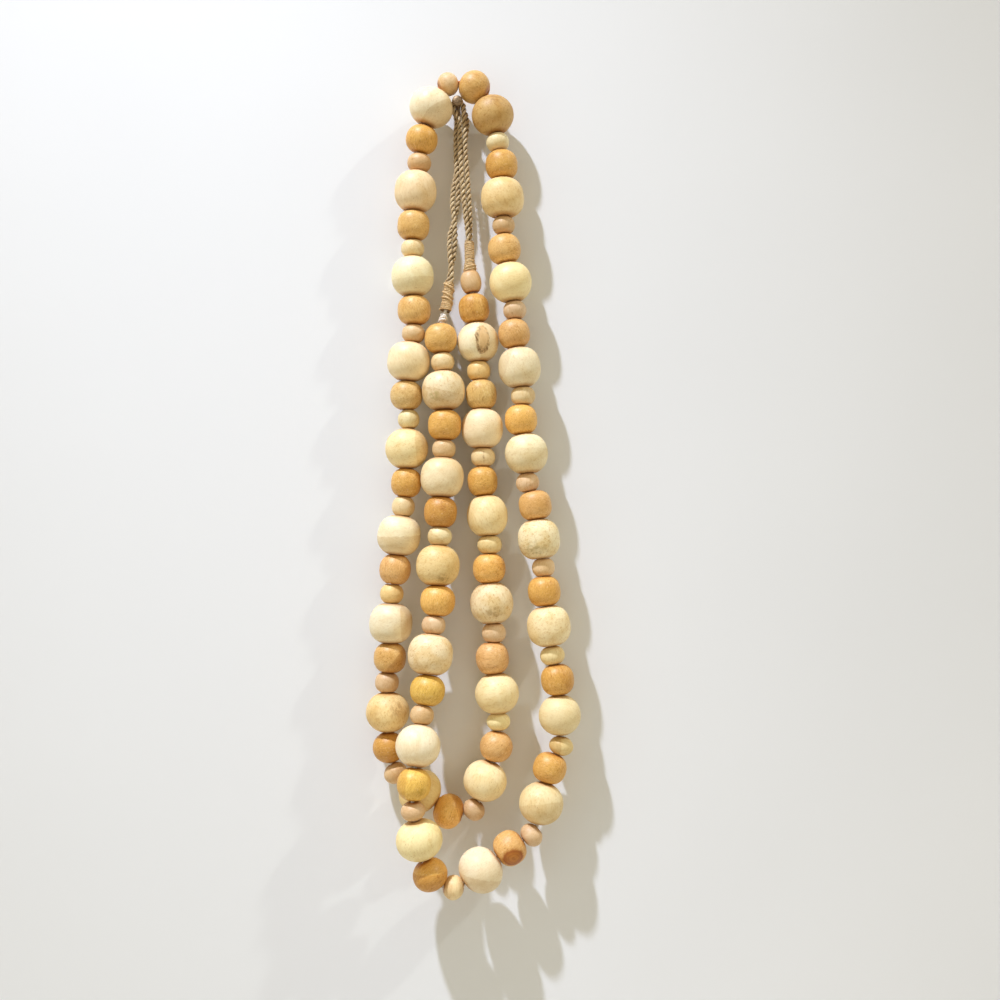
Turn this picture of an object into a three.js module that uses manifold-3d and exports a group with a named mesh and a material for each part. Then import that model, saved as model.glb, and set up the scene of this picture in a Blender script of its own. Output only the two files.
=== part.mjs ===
// A strand of turned wooden beads with a jute hanging loop at each end, hung doubled on one round-headed nail.
// Millimetres, with +X to the right, +Z up and -Y toward the viewer. The origin is the nail's axis where it enters
// the wall, whose surface is the plane y = 0.
import * as THREE from "three";
import { mergeVertices } from "three/addons/utils/BufferGeometryUtils.js";
import Module from "manifold-3d";

const wasm = await Module();
wasm.setup();

// ---- Driving dimensions

const GAP = 0.3; // clearance between neighbouring pieces
const STRING_DIAMETER = 2;
const CORD_DIAMETER = 2.7; // the jute cord, which is one leg of a folded loop

// The turned beads. length runs along the drilled hole between the two flat faces, and face is the radius of those
// faces. sides is the number of facets round the hole. latitudes are the degrees from the bead's middle toward each
// end at which its round side has an edge.
const BEADS = {
  small: { diameter: 13.7, length: 10.7, face: 2.5, sides: 8, latitudes: [-40, 0, 40] },
  medium: { diameter: 19, length: 16.7, face: 3, sides: 10, latitudes: [-52, -26, 0, 26, 52] },
  large: { diameter: 25, length: 22.2, face: 3.7, sides: 12, latitudes: [-56, -28, 0, 28, 56] },
};
const ORDER = ["small", "medium", "large"]; // repeats from end A to end B
const BEAD_COUNT = 95; // so the last repeat has no large bead
const INNER_BEADS = 46; // from end A to the nail; the rest are on the outer loop

const SUMMIT_GAP = 1.2; // half the bare string between the two beads that sit astride the nail
const INNER_PLAY = 0.05; // extra string at each bead of the inner loop, where they are less tightly strung
const END_SLACK = 1.5; // extra string above the second bead from end A

// The middle of the string from the nail down the left strand, round the inner loop and up to end A: x, y, z.
const INNER_COURSE = [
  [0.8, -14, 12.5],
  [-4.8, -14.2, 13.2],
  [-10.6, -15.6, 9.4],
  [-15.6, -16.6, -2],
  [-21.2, -15.6, -20],
  [-23.4, -15, -36],
  [-24.8, -15, -53],
  [-26.3, -15, -80],
  [-26.2, -15, -105],
  [-26.6, -15, -131],
  [-28.3, -15, -155],
  [-29.9, -14.6, -176],
  [-28.7, -15, -206],
  [-30.6, -14.8, -230],
  [-33.3, -15, -257],
  [-36.3, -15, -284],
  [-37.9, -15, -308],
  [-38.8, -15, -334],
  [-40, -14.5, -359],
  [-39.2, -14, -379.5],
  [-35.5, -13.5, -394.5],
  [-21.5, -13.5, -404],
  [-6, -14, -418.2],
  [9.8, -14.5, -416],
  [16, -15, -400.5],
  [23.4, -15, -380],
  [24.2, -15, -357],
  [22, -15, -330],
  [20.4, -15, -297],
  [18.4, -15, -270],
  [17.4, -15, -245],
  [15.3, -15, -219],
  [14.8, -15, -195],
  [14.1, -15, -168],
  [12.9, -14.8, -144],
  [10.6, -14.8, -124],
  [7.8, -15, -107],
  [6.8, -15, -95],
];

// The same from the nail down the right strand, round the outer loop, out over the inner loop and up to end B.
const OUTER_COURSE = [
  [0.8, -14, 12.5],
  [9, -14.2, 13.6],
  [17.6, -15.4, 5.5],
  [21.4, -16, -8],
  [24.4, -16, -29],
  [26.4, -16.3, -57],
  [28, -16.4, -84],
  [31.8, -16.5, -108],
  [33.6, -16.6, -133],
  [36.8, -16.7, -159],
  [38.4, -16.8, -184],
  [40.4, -16.8, -210],
  [43.6, -17, -234],
  [47.5, -17, -260],
  [50, -17.1, -285],
  [53, -17.2, -310],
  [57, -17.4, -335],
  [59, -17.5, -360],
  [58.8, -17.6, -378],
  [53.8, -17.8, -391],
  [49.2, -18.5, -410],
  [43.8, -19.5, -426.5],
  [31, -21, -434.4],
  [14.5, -23.5, -446.6],
  [0.8, -26, -456.2],
  [-14, -28.5, -449.8],
  [-20, -31.5, -428],
  [-23.3, -34, -411],
  [-23, -35.5, -396],
  [-20.6, -31.5, -376],
  [-18.4, -28, -358],
  [-15, -25, -332],
  [-12.4, -22.8, -306],
  [-10.4, -21.2, -274],
  [-9.4, -20.4, -250],
  [-8.2, -19.7, -224],
  [-7.3, -19.1, -198],
  [-7.6, -18.8, -172],
  [-9.2, -18, -152],
  [-10.3, -17.8, -141],
  [-8.6, -16.4, -126],
];

// The nail lies along Y. Its head faces the viewer and its point is in the wall.
const NAIL = { head: 6.3, headFront: -20, headBack: -18.7, rim: 0.5, shank: 2.9, shankEnd: 20, tip: 25 };

// Each loop is one cord folded over the nail. Its rows run down from the nail to the whipping and give the middle of
// the two legs, half the distance between them, and how far the pair has turned about its middle, in degrees.
const LOOPS = {
  jute_loop_a: [
    { x: 0, y: -10.9, z: 0, half: 3.1, turn: 0 },
    { x: 2.3, y: -11.2, z: -9, half: 1.55, turn: 0 },
    { x: 2.8, y: -11.7, z: -15, half: 1.5, turn: 0 },
    { x: 3, y: -12.6, z: -28, half: 1.6, turn: 0 },
    { x: 4.4, y: -13.6, z: -46, half: 1.6, turn: 0 },
    { x: 5.5, y: -14.3, z: -61, half: 1.6, turn: 20 },
    { x: 6.5, y: -14.7, z: -72, half: 1.6, turn: 50 },
    { x: 7, y: -14.9, z: -82.4, half: 1.6, turn: 80 },
  ],
  jute_loop_b: [
    { x: 0, y: -7.6, z: 0, half: 3.1, turn: 0 },
    { x: 2.2, y: -7.8, z: -7.5, half: 3.1, turn: 0 },
    { x: 1.9, y: -8.2, z: -15, half: 3.1, turn: 0 },
    { x: 0.6, y: -9.1, z: -28, half: 1.8, turn: 20 },
    { x: -0.6, y: -10.3, z: -40, half: 1.6, turn: 90 },
    { x: -1.2, y: -11.4, z: -53, half: 1.6, turn: 165 },
    { x: -1.5, y: -12.2, z: -61, half: 1.6, turn: 195 },
    { x: -1.9, y: -12.8, z: -70, half: 1.6, turn: 270 },
    { x: -2.9, y: -13.4, z: -80, half: 1.6, turn: 345 },
    { x: -3.2, y: -14, z: -90, half: 1.6, turn: 395 },
    { x: -3.6, y: -14.6, z: -98, half: 1.6, turn: 445 },
    { x: -4.2, y: -15.2, z: -106.9, half: 1.6, turn: 480 },
  ],
};
const ARCH_POINTS = 4; // round half of the nail
const CORD_SIDES = 8;
const STEPS_BETWEEN_POINTS = 2;

// Thin jute twine is wound round the neck of each loop. Heights run down from the top of the neck.
const WHIPPINGS = {
  whipping_a: { top: [7, -14.9, -83], bottom: [7.5, -15, -102.7], neck: 3, flare: 3.7 },
  whipping_b: { top: [-4.4, -15.3, -107.5], bottom: [-6.8, -16, -126], neck: 3, flare: 3.5 },
};
const WHIPPING_SIDES = 10;

// The string is knotted between the lower whipping and its first bead.
const KNOT = { top: [-7, -16.1, -126.5], bottom: [-9.5, -17.2, -133.9], diameter: 4.4, sides: 8 };

const COLOURS = {
  wood: { color: "#e2bd84", roughness: 0.5, metalness: 0 },
  jute: { color: "#a98f63", roughness: 0.9, metalness: 0 },
  string: { color: "#efe6d8", roughness: 0.8, metalness: 0 },
  steel: { color: "#a39a98", roughness: 0.35, metalness: 1 },
};

// ---- Solids

const UP = new THREE.Vector3(0, 1, 0);

function vector([x, y, z]) {
  return new THREE.Vector3(x, y, z);
}

// A closed geometry as a solid that can be joined to others.
function solidOf(geometry) {
  const bare = geometry.clone();
  bare.deleteAttribute("normal");
  bare.deleteAttribute("uv");
  const merged = mergeVertices(bare, 1e-4);
  return new wasm.Manifold(
    new wasm.Mesh({
      numProp: 3,
      vertProperties: merged.attributes.position.array,
      triVerts: new Uint32Array(merged.index.array),
    }),
  );
}

function geometryOf(solid) {
  const { vertProperties, triVerts } = solid.getMesh();
  const geometry = new THREE.BufferGeometry();
  geometry.setAttribute("position", new THREE.BufferAttribute(vertProperties, 3));
  geometry.setIndex(new THREE.BufferAttribute(triVerts, 1));
  geometry.computeVertexNormals();
  return geometry;
}

function meshOf(name, geometry, finish) {
  const mesh = new THREE.Mesh(geometry, new THREE.MeshStandardMaterial(COLOURS[finish]));
  mesh.name = name;
  return mesh;
}

// A turned shape between two points. profile lists [radius, distance from the first point].
function turned(profile, sides, from, to) {
  const points = profile.map(([radius, height]) => new THREE.Vector2(radius, height));
  const axis = to.clone().sub(from).normalize();
  return new THREE.LatheGeometry(points, sides)
    .applyQuaternion(new THREE.Quaternion().setFromUnitVectors(UP, axis))
    .translate(from.x, from.y, from.z);
}

// ---- Beads on their string

// A bead is a ball pressed a little flat along its hole, with a flat face at each end.
function beadGeometry({ diameter, length, face, sides, latitudes }, from, to) {
  const radius = diameter / 2;
  const faceLatitude = Math.acos(face / radius);
  const halfHeight = length / 2 / Math.sin(faceLatitude);
  const ball = latitudes.map((degrees) => {
    const latitude = THREE.MathUtils.degToRad(degrees);
    return [radius * Math.cos(latitude), length / 2 + halfHeight * Math.sin(latitude)];
  });
  const profile = [[0, 0], [face, 0], ...ball, [face, length], [0, length]];
  return turned(profile, sides, from, to);
}

// A course that can be measured along: at(distance) is the point that far along the string.
function measuredCourse(rows) {
  const stepsPerPoint = 40;
  const points = new THREE.CatmullRomCurve3(rows.map(vector)).getPoints(stepsPerPoint * (rows.length - 1));
  const distances = [0];
  for (let i = 1; i < points.length; i++) {
    distances.push(distances[i - 1] + points[i].distanceTo(points[i - 1]));
  }
  return function at(distance) {
    let i = 1;
    while (i < points.length - 1 && distances[i] < distance) i++;
    const share = (distance - distances[i - 1]) / (distances[i] - distances[i - 1]);
    return points[i - 1].clone().lerp(points[i], share);
  };
}

// How far along the course a straight piece of this length ends, when both its ends lie on the course.
function chordEnd(at, start, length) {
  let end = start + length;
  for (let pass = 0; pass < 8; pass++) {
    end += length - at(end).distanceTo(at(start));
  }
  return end;
}

// Threads beads along a course. Two beads at an angle touch at the rims of their flat faces, so the string between
// them is longer there. play is extra string at every bead and slack is extra string before the last one.
function thread(at, kinds, play, slack) {
  const placed = [];
  let start = SUMMIT_GAP;
  for (const [index, kind] of kinds.entries()) {
    const bead = BEADS[kind];
    const previous = placed[index - 1];
    if (index === kinds.length - 1) start += slack;
    let gap = 0;
    let end = 0;
    for (let pass = 0; pass < 6; pass++) {
      end = chordEnd(at, start + gap, bead.length);
      if (!previous) break;
      const axis = at(end).sub(at(start + gap));
      const bend = axis.angleTo(previous.far.clone().sub(previous.near));
      gap = GAP + play + ((bead.face + BEADS[previous.kind].face) / 2) * Math.sin(bend);
    }
    placed.push({ kind, near: at(start + gap), far: at(end) });
    start = end;
  }
  return placed;
}

// The beads in order from end A to end B, each with its end towards A and its end towards B.
function strand() {
  const kinds = Array.from({ length: BEAD_COUNT }, (_, index) => ORDER[index % ORDER.length]);
  const innerKinds = kinds.slice(0, INNER_BEADS).reverse();
  const inner = thread(measuredCourse(INNER_COURSE), innerKinds, INNER_PLAY, END_SLACK);
  const outer = thread(measuredCourse(OUTER_COURSE), kinds.slice(INNER_BEADS), 0, 0);
  return [
    ...inner.reverse().map(({ kind, near, far }) => ({ kind, a: far, b: near })),
    ...outer.map(({ kind, near, far }) => ({ kind, a: near, b: far })),
  ];
}

// The bare string between two points.
function stringGeometry(from, to) {
  const radius = STRING_DIAMETER / 2;
  const length = from.distanceTo(to);
  const profile = [
    [0, 0],
    [radius, 0],
    [radius, length],
    [0, length],
  ];
  return turned(profile, 4, from, to);
}

// One repeat: its beads joined on their stretch of string, which reaches on to the next repeat.
function repeatGeometry(beads, next) {
  const sunk = 1.5; // how far the string's solid reaches into each bead
  let solid = solidOf(beadGeometry(BEADS[beads[0].kind], beads[0].a, beads[0].b));
  for (let i = 1; i < beads.length; i++) {
    const before = beads[i - 1];
    const bead = beads[i];
    const from = before.b.clone().lerp(before.a, sunk / before.b.distanceTo(before.a));
    const to = bead.a.clone().lerp(bead.b, sunk / bead.a.distanceTo(bead.b));
    solid = solid.add(solidOf(stringGeometry(from, to)));
    solid = solid.add(solidOf(beadGeometry(BEADS[bead.kind], bead.a, bead.b)));
  }
  const last = beads[beads.length - 1];
  const bare = next ? last.b.distanceTo(next.a) : 0;
  const clearance = GAP + STRING_DIAMETER / 2;
  if (bare > 1.5 * clearance) {
    const from = last.b.clone().lerp(last.a, sunk / last.b.distanceTo(last.a));
    const to = next.a.clone().lerp(last.b, clearance / bare);
    solid = solid.add(solidOf(stringGeometry(from, to)));
  }
  return geometryOf(solid);
}

function addBeads(group) {
  const beads = strand();
  for (let first = 0; first < beads.length; first += ORDER.length) {
    const number = String(first / ORDER.length + 1).padStart(2, "0");
    const repeat = beads.slice(first, first + ORDER.length);
    const geometry = repeatGeometry(repeat, beads[first + ORDER.length]);
    group.add(meshOf(`repeat_${number}`, geometry, "wood"));
  }
}

// ---- Nail, loops, whippings and knot

function nailGeometry() {
  const { head, headFront, headBack, rim, shank, shankEnd, tip } = NAIL;
  const profile = [
    [0, 0],
    [head / 2 - rim, 0],
    [head / 2, rim],
    [head / 2, headBack - headFront],
    [shank / 2, headBack - headFront],
    [shank / 2, shankEnd - headFront],
    [0, tip - headFront],
  ];
  return turned(profile, 12, new THREE.Vector3(0, headFront, 0), new THREE.Vector3(0, tip, 0));
}

// A path whose steps follow its own points, so that they are close where the cord bends over the nail.
class CordPath extends THREE.CatmullRomCurve3 {
  getUtoTmapping(u) {
    return u;
  }
}

function legPoint({ x, y, z, half, turn }, side) {
  const angle = THREE.MathUtils.degToRad(turn);
  return new THREE.Vector3(x + side * half * Math.cos(angle), y + side * half * Math.sin(angle), z);
}

function loopGeometry(rows) {
  const points = rows.map((row) => legPoint(row, -1)).reverse();
  for (let i = 1; i < ARCH_POINTS; i++) {
    const angle = Math.PI * (1 - i / ARCH_POINTS);
    points.push(new THREE.Vector3(rows[0].half * Math.cos(angle), rows[0].y, rows[0].half * Math.sin(angle)));
  }
  points.push(...rows.map((row) => legPoint(row, 1)));
  const section = new THREE.Shape();
  for (let i = 0; i < CORD_SIDES; i++) {
    const angle = (2 * Math.PI * (i + 0.5)) / CORD_SIDES;
    const corner = [(Math.cos(angle) * CORD_DIAMETER) / 2, (Math.sin(angle) * CORD_DIAMETER) / 2];
    if (i === 0) section.moveTo(...corner);
    else section.lineTo(...corner);
  }
  return new THREE.ExtrudeGeometry(section, {
    extrudePath: new CordPath(points),
    steps: STEPS_BETWEEN_POINTS * (points.length - 1),
  });
}

function whippingGeometry({ top, bottom, neck, flare }) {
  const from = vector(top);
  const to = vector(bottom);
  const length = from.distanceTo(to);
  const profile = [
    [0, 0],
    [neck * 0.85, 0],
    [neck, 1.2],
    [neck, length * 0.7],
    [flare, length - 1],
    [flare * 0.85, length],
    [0, length],
  ];
  return turned(profile, WHIPPING_SIDES, from, to);
}

function knotGeometry() {
  const from = vector(KNOT.top);
  const to = vector(KNOT.bottom);
  const length = from.distanceTo(to);
  const string = STRING_DIAMETER / 2;
  const profile = [
    [0, 0],
    [string, 0],
    [KNOT.diameter / 2, length * 0.35],
    [KNOT.diameter / 2, length * 0.7],
    [string, length * 0.9],
    [string, length],
    [0, length],
  ];
  return turned(profile, KNOT.sides, from, to);
}

// ---- The hung garland

const garland = new THREE.Group();
addBeads(garland);
garland.add(meshOf("nail", nailGeometry(), "steel"));
for (const [name, rows] of Object.entries(LOOPS)) {
  garland.add(meshOf(name, loopGeometry(rows), "jute"));
}
for (const [name, sizes] of Object.entries(WHIPPINGS)) {
  garland.add(meshOf(name, whippingGeometry(sizes), "jute"));
}
garland.add(meshOf("string_knot", knotGeometry(), "string"));

export default garland;
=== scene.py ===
import bmesh
import bpy
import math
import random
from mathutils import Matrix, Vector, noise
from mathutils.kdtree import KDTree


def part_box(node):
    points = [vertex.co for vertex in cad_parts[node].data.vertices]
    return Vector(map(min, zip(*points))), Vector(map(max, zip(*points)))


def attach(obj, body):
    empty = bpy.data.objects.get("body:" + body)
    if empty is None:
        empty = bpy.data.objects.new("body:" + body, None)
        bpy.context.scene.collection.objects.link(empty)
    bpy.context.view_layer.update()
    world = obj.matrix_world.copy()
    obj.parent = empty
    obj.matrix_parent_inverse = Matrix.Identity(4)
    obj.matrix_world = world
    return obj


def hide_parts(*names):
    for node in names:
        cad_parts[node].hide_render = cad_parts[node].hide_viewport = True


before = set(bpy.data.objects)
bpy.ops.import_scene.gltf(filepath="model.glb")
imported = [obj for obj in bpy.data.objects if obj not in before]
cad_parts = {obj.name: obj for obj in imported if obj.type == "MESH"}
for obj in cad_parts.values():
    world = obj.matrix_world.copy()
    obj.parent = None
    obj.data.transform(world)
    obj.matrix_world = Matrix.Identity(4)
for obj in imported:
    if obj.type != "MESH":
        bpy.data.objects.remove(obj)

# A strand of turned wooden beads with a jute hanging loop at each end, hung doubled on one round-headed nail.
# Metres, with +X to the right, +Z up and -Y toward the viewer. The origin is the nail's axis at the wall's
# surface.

MM = 0.001
TURN = 2 * math.pi
# Two points nearer than this, in metres, are one.
SAME_PLACE = 1e-7
BODY = "root"
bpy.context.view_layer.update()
scene = bpy.context.scene
scene.view_settings.view_transform = "Standard"


# ---- Camera

def place_camera():
    camera = bpy.data.objects.new("camera", bpy.data.cameras.new("camera"))
    scene.collection.objects.link(camera)
    camera.data.sensor_width = 36
    camera.data.lens = 43.2
    camera.data.clip_start = 0.01
    camera.data.clip_end = 20
    camera.location = (0.02521, -0.7113, -0.28545)
    camera.rotation_euler = (math.radians(94), 0, 0)
    scene.camera = camera


# ---- Sizes and courses, in millimetres as in the part's source

GAP = 0.3
STRING_DIAMETER = 2
BEADS = {
    "small": {"diameter": 13.7, "length": 10.7, "face": 2.5, "hole": 1.2, "facets": 28, "square": (2.1, 2.45)},
    "medium": {"diameter": 19, "length": 16.7, "face": 3, "hole": 1.35, "facets": 36, "square": (2.2, 2.7)},
    "large": {"diameter": 25, "length": 22.2, "face": 3.7, "hole": 1.5, "facets": 40, "square": (2.15, 2.5)},
}
ORDER = ("small", "medium", "large")
BEAD_COUNT = 95
INNER_BEADS = 46
SUMMIT_GAP = 1.2
INNER_PLAY = 0.05
END_SLACK = 1.5

INNER_COURSE = [
    (0.8, -14, 12.5),
    (-4.8, -14.2, 13.2),
    (-10.6, -15.6, 9.4),
    (-15.6, -16.6, -2),
    (-21.2, -15.6, -20),
    (-23.4, -15, -36),
    (-24.8, -15, -53),
    (-26.3, -15, -80),
    (-26.2, -15, -105),
    (-26.6, -15, -131),
    (-28.3, -15, -155),
    (-29.9, -14.6, -176),
    (-28.7, -15, -206),
    (-30.6, -14.8, -230),
    (-33.3, -15, -257),
    (-36.3, -15, -284),
    (-37.9, -15, -308),
    (-38.8, -15, -334),
    (-40, -14.5, -359),
    (-39.2, -14, -379.5),
    (-35.5, -13.5, -394.5),
    (-21.5, -13.5, -404),
    (-6, -14, -418.2),
    (9.8, -14.5, -416),
    (16, -15, -400.5),
    (23.4, -15, -380),
    (24.2, -15, -357),
    (22, -15, -330),
    (20.4, -15, -297),
    (18.4, -15, -270),
    (17.4, -15, -245),
    (15.3, -15, -219),
    (14.8, -15, -195),
    (14.1, -15, -168),
    (12.9, -14.8, -144),
    (10.6, -14.8, -124),
    (7.8, -15, -107),
    (6.8, -15, -95),
]

OUTER_COURSE = [
    (0.8, -14, 12.5),
    (9, -14.2, 13.6),
    (17.6, -15.4, 5.5),
    (21.4, -16, -8),
    (24.4, -16, -29),
    (26.4, -16.3, -57),
    (28, -16.4, -84),
    (31.8, -16.5, -108),
    (33.6, -16.6, -133),
    (36.8, -16.7, -159),
    (38.4, -16.8, -184),
    (40.4, -16.8, -210),
    (43.6, -17, -234),
    (47.5, -17, -260),
    (50, -17.1, -285),
    (53, -17.2, -310),
    (57, -17.4, -335),
    (59, -17.5, -360),
    (58.8, -17.6, -378),
    (53.8, -17.8, -391),
    (49.2, -18.5, -410),
    (43.8, -19.5, -426.5),
    (31, -21, -434.4),
    (14.5, -23.5, -446.6),
    (0.8, -26, -456.2),
    (-14, -28.5, -449.8),
    (-20, -31.5, -428),
    (-23.3, -34, -411),
    (-23, -35.5, -396),
    (-20.6, -31.5, -376),
    (-18.4, -28, -358),
    (-15, -25, -332),
    (-12.4, -22.8, -306),
    (-10.4, -21.2, -274),
    (-9.4, -20.4, -250),
    (-8.2, -19.7, -224),
    (-7.3, -19.1, -198),
    (-7.6, -18.8, -172),
    (-9.2, -18, -152),
    (-10.3, -17.8, -141),
    (-8.6, -16.4, -126),
]

NAIL = {"head": 6.3, "front": -20, "back": -18.7, "shank": 2.9, "shank_end": 20, "tip": 25}

# Each loop is one cord folded over the nail: the middle of its two legs, half the distance between them, and
# how far the pair has turned about its middle, in degrees.
LOOPS = {
    "a": [
        (0, -10.9, 0, 3.1, 0),
        (2.3, -11.2, -9, 1.55, 0),
        (2.8, -11.7, -15, 1.5, 0),
        (3, -12.6, -28, 1.6, 0),
        (4.4, -13.6, -46, 1.6, 0),
        (5.5, -14.3, -61, 1.6, 20),
        (6.5, -14.7, -72, 1.6, 50),
        (7, -14.9, -82.4, 1.6, 80),
    ],
    "b": [
        (0, -7.6, 0, 3.1, 0),
        (2.2, -7.8, -7.5, 3.1, 0),
        (1.9, -8.2, -15, 3.1, 0),
        (0.6, -9.1, -28, 1.8, 20),
        (-0.6, -10.3, -40, 1.6, 90),
        (-1.2, -11.4, -53, 1.6, 165),
        (-1.5, -12.2, -61, 1.6, 195),
        (-1.9, -12.8, -70, 1.6, 270),
        (-2.9, -13.4, -80, 1.6, 345),
        (-3.2, -14, -90, 1.6, 395),
        (-3.6, -14.6, -98, 1.6, 445),
        (-4.2, -15.2, -106.9, 1.6, 480),
    ],
}

WHIPPING_TWINE = 1.04
WHIPPINGS = {
    "a": {"top": (7, -14.9, -83), "bottom": (7.5, -15, -102.7), "neck": 3, "flare": 3.7},
    "b": {"top": (-4.4, -15.3, -107.5), "bottom": (-6.8, -16, -126), "neck": 3, "flare": 3.5},
}
KNOT = {"top": (-7, -16.1, -126.5), "bottom": (-9.5, -17.2, -133.9)}

# The loops' rope: its plies, the radius of each, how far its middle is from the rope's, and the length in
# which it goes once round.
ROPE = {"plies": 2, "radius": 0.84, "offset": 0.76, "lay": 7}

# Beads as seated: the gap between two, and how much nearer or further apart their faces are brought for it.
TOUCH_GAP = 0.1
MOST_REACH = 1.1

# How a bead differs from an even one, as hand-turned beads on a slack string do: its size across its hole and
# along it, where an even bead has 1, and how far its middle sits to the right and up. Each line holds the beads
# of one repeat, and the beads that are left out are even.
SEATS = {
    1: (0.9, 1.13, -0.1, 0.7), 2: (0.95, 0.98, -0.5, -0.4), 3: (0.97, 1, -0.4, 0),
    4: (1, 0.96, -1.1, -0.2), 5: (0.95, 1, 0, -0.6), 6: (0.965, 1.02, 0.1, -0.4),
    7: (1.03, 1, 0.3, -0.2), 8: (0.92, 1, -0.8, -0.4), 9: (0.95, 1.03, 0.6, -0.4),
    10: (1.04, 0.97, 1.1, -0.7), 12: (1, 1.02, 0.2, -0.6),
    13: (1.02, 0.98, 0.5, -0.4), 14: (1.01, 1.06, -1.1, -1.4), 15: (1.01, 1.04, 0.2, -1.6),
    17: (1, 1.05, 0, -0.5), 18: (1, 1.05, -0.9, 0.1),
    19: (0.97, 1, 0.7, 0), 20: (1.05, 1, -0.4, 1.1), 21: (1.04, 1, 1.7, 1.2),
    23: (0.97, 1, 0.4, 0), 24: (1, 0.99, 0.4, 0.1),
    25: (1, 1.02, -0.6, 0), 26: (0.98, 0.98, 0.4, 0),
    28: (1, 1, -0.5, 0), 29: (0.96, 0.98, 0, 0.1), 30: (1, 0.98, 0, 0),
    31: (0.98, 0.97, 0.6, 0), 32: (0.93, 0.93, 0.9, 0),
    34: (0.93, 0.97, 1.2, 0), 35: (1, 0.97, 0, 0),
    37: (1, 0.96, 1.5, -0.2), 38: (1.03, 1, 1.2, -0.6), 39: (1, 1.01, 0, -0.4),
    40: (1, 0.94, 0, -0.2), 41: (1, 1, 0, -0.9), 42: (1, 1.03, 0, 0),
    43: (1.04, 1, 0.8, 0.8), 44: (1, 1.01, 0.1, 0.3), 45: (1.04, 1.04, 0.2, 0.4),
    46: (1, 1.12, -0.8, 0.5), 47: (1.02, 1.04, 0.5, 0.5), 48: (1, 1.02, 0, -0.3),
    50: (1, 1, 1, 0.2), 51: (1.02, 1, 0.2, 0),
    52: (0.97, 0.94, 0, 0.3), 53: (1.02, 1, -1.1, 0),
    55: (1, 0.94, 0.8, 0.1), 56: (0.98, 0.99, -1, 0), 57: (0.99, 1.03, 0.1, 0),
    58: (1.04, 0.94, 0.7, 0.1), 59: (1, 1, -1.4, 0),
    61: (1, 0.96, -1.3, -0.2), 62: (1, 0.98, 1, 0.5), 63: (0.97, 0.99, 0.4, 0.7),
    64: (0.97, 0.91, 1.1, 0.7), 65: (0.99, 1, 0, 1.3), 66: (1, 0.98, 0, 1),
    67: (1.04, 0.95, -0.4, 0.3), 68: (1, 1.03, 0.6, 1.3), 69: (0.97, 0.98, 0.5, 0.6),
    70: (1.02, 1, 2, 0.5), 71: (1, 1.05, -0.5, 2.1), 72: (1.01, 1.07, -0.1, 1.5),
    73: (1, 1, 1.9, 0.4), 74: (1.03, 1.02, 0.9, 1.5), 75: (1.05, 1.06, 0.6, 1.7),
    76: (1, 1.08, 1.9, 0.2), 77: (1.04, 1.05, 0, -0.9), 78: (1.05, 1.04, 0.7, -0.7),
    79: (1, 1, 0, -1.5), 80: (1.01, 1.06, 0.1, -1), 81: (1.01, 1.03, -0.1, -0.4),
    82: (0.98, 0.96, -0.2, 0.1), 83: (1.05, 1, 0.9, -0.4), 84: (1.03, 1.01, 0, 0.3),
    85: (1, 0.95, 0, 0), 86: (1.06, 1, 1.2, -0.3), 87: (1, 1, 0, 0.4),
    88: (1.03, 0.93, 0.3, 0.1), 89: (1, 1, 0, 0.4), 90: (1, 1, 0, 0.8),
    91: (1, 0.94, 0.3, 0.2), 92: (1.02, 1, 0.4, 0.5), 93: (1, 1, 0, 0.8),
    94: (1, 0.96, 0.5, 0.5), 95: (1, 1, 0.1, 0.8),
}


# ---- Lines through space

def shares(steps):
    """Even steps from 0 to 1."""
    return [i / steps for i in range(steps + 1)]


def through(rows, steps=40):
    """A smooth line through the rows, whose bends are as the part's own."""
    rows = [Vector(row) for row in rows]
    ends = [2 * rows[0] - rows[1], *rows, 2 * rows[-1] - rows[-2]]
    line = []
    for before, start, end, after in zip(ends, ends[1:], ends[2:], ends[3:]):
        lead = math.sqrt((start - before).length)
        span = math.sqrt((end - start).length)
        trail = math.sqrt((after - end).length)
        leave = ((start - before) / lead - (end - before) / (lead + span) + (end - start) / span) * span
        arrive = ((end - start) / span - (after - start) / (span + trail) + (after - end) / trail) * span
        for step in range(steps):
            t = step / steps
            line.append(
                start
                + leave * t
                + (3 * (end - start) - 2 * leave - arrive) * t * t
                + (2 * (start - end) + leave + arrive) * t * t * t
            )
    line.append(rows[-1])
    return line


class Course:
    """A line that can be measured along."""

    def __init__(self, points):
        self.points = points
        self.distances = [0]
        for first, second in zip(points, points[1:]):
            self.distances.append(self.distances[-1] + (second - first).length)
        self.length = self.distances[-1]

    def at(self, distance):
        i = 1
        while i < len(self.points) - 1 and self.distances[i] < distance:
            i += 1
        share = (distance - self.distances[i - 1]) / (self.distances[i] - self.distances[i - 1])
        return self.points[i - 1].lerp(self.points[i], share)

    def even(self, spacing):
        """Points along it at about this spacing."""
        count = max(2, round(self.length / spacing))
        return [self.at(self.length * i / count) for i in range(count + 1)]


class Neck:
    """A short straight stretch: from its top down to its bottom, with two directions across it."""

    def __init__(self, place):
        self.top = Vector(place["top"])
        self.bottom = Vector(place["bottom"])
        self.length = (self.bottom - self.top).length
        self.down = (self.bottom - self.top).normalized()
        self.side = self.down.orthogonal().normalized()
        self.front = self.down.cross(self.side)

    def beside(self, drop, angle, reach):
        """The point so far down it, and so far out from it at this angle."""
        outwards = self.side * math.cos(angle) + self.front * math.sin(angle)
        return self.top + self.down * drop + outwards * reach


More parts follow.
